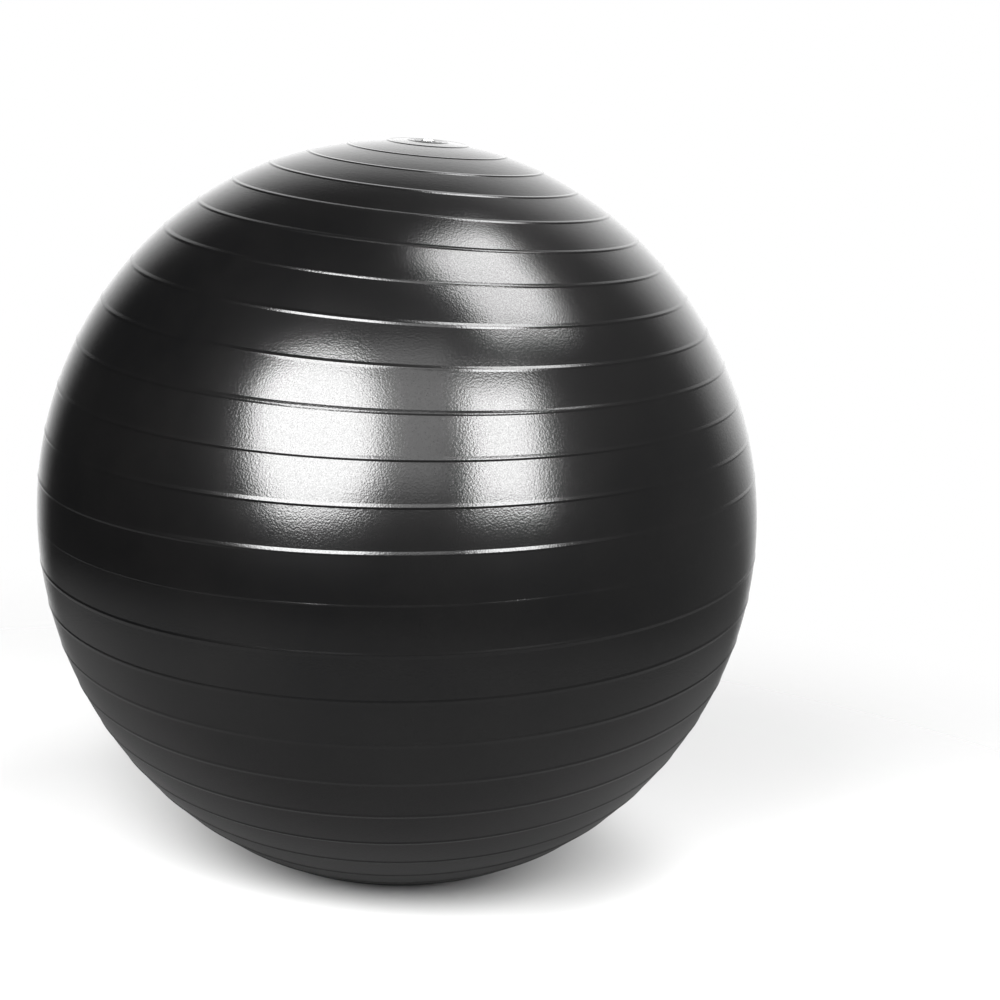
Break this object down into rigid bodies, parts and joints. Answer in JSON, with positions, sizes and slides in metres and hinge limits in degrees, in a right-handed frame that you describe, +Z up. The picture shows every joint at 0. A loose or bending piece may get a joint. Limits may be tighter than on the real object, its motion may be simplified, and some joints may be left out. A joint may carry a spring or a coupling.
{
  "type": "exercise ball",
  "caption": "Large inflated exercise ball of soft plastic, with raised rings round it, a moulded-in valve seat at the top and a push-in stopper.",
  "frame": {"origin": "centre of the flattened patch that the ball stands on", "axes": "+Z runs up the axis of the rings to the valve at the top; +X and +Y are any two level directions, and the stopper's slanted tip faces +X"},
  "size_m": [0.6295, 0.6296, 0.6509],
  "materials": {
    "ball_skin": "satin soft PVC with a fine leathery grain",
    "valve_rubbery": "satin soft PVC, smooth",
    "plug_white": "smooth satin polyethylene"
  },
  "bodies": {
    "ball": {"ball_shell": "ball_skin", "valve_seat": "valve_rubbery"},
    "plug": {"plug": "plug_white"}
  },
  "joints": [
    {"name": "plug_pull", "type": "slide", "parent": "ball", "child": "plug", "axis": [0, 0, 1], "range_m": [0, 0.06]}
  ]
}
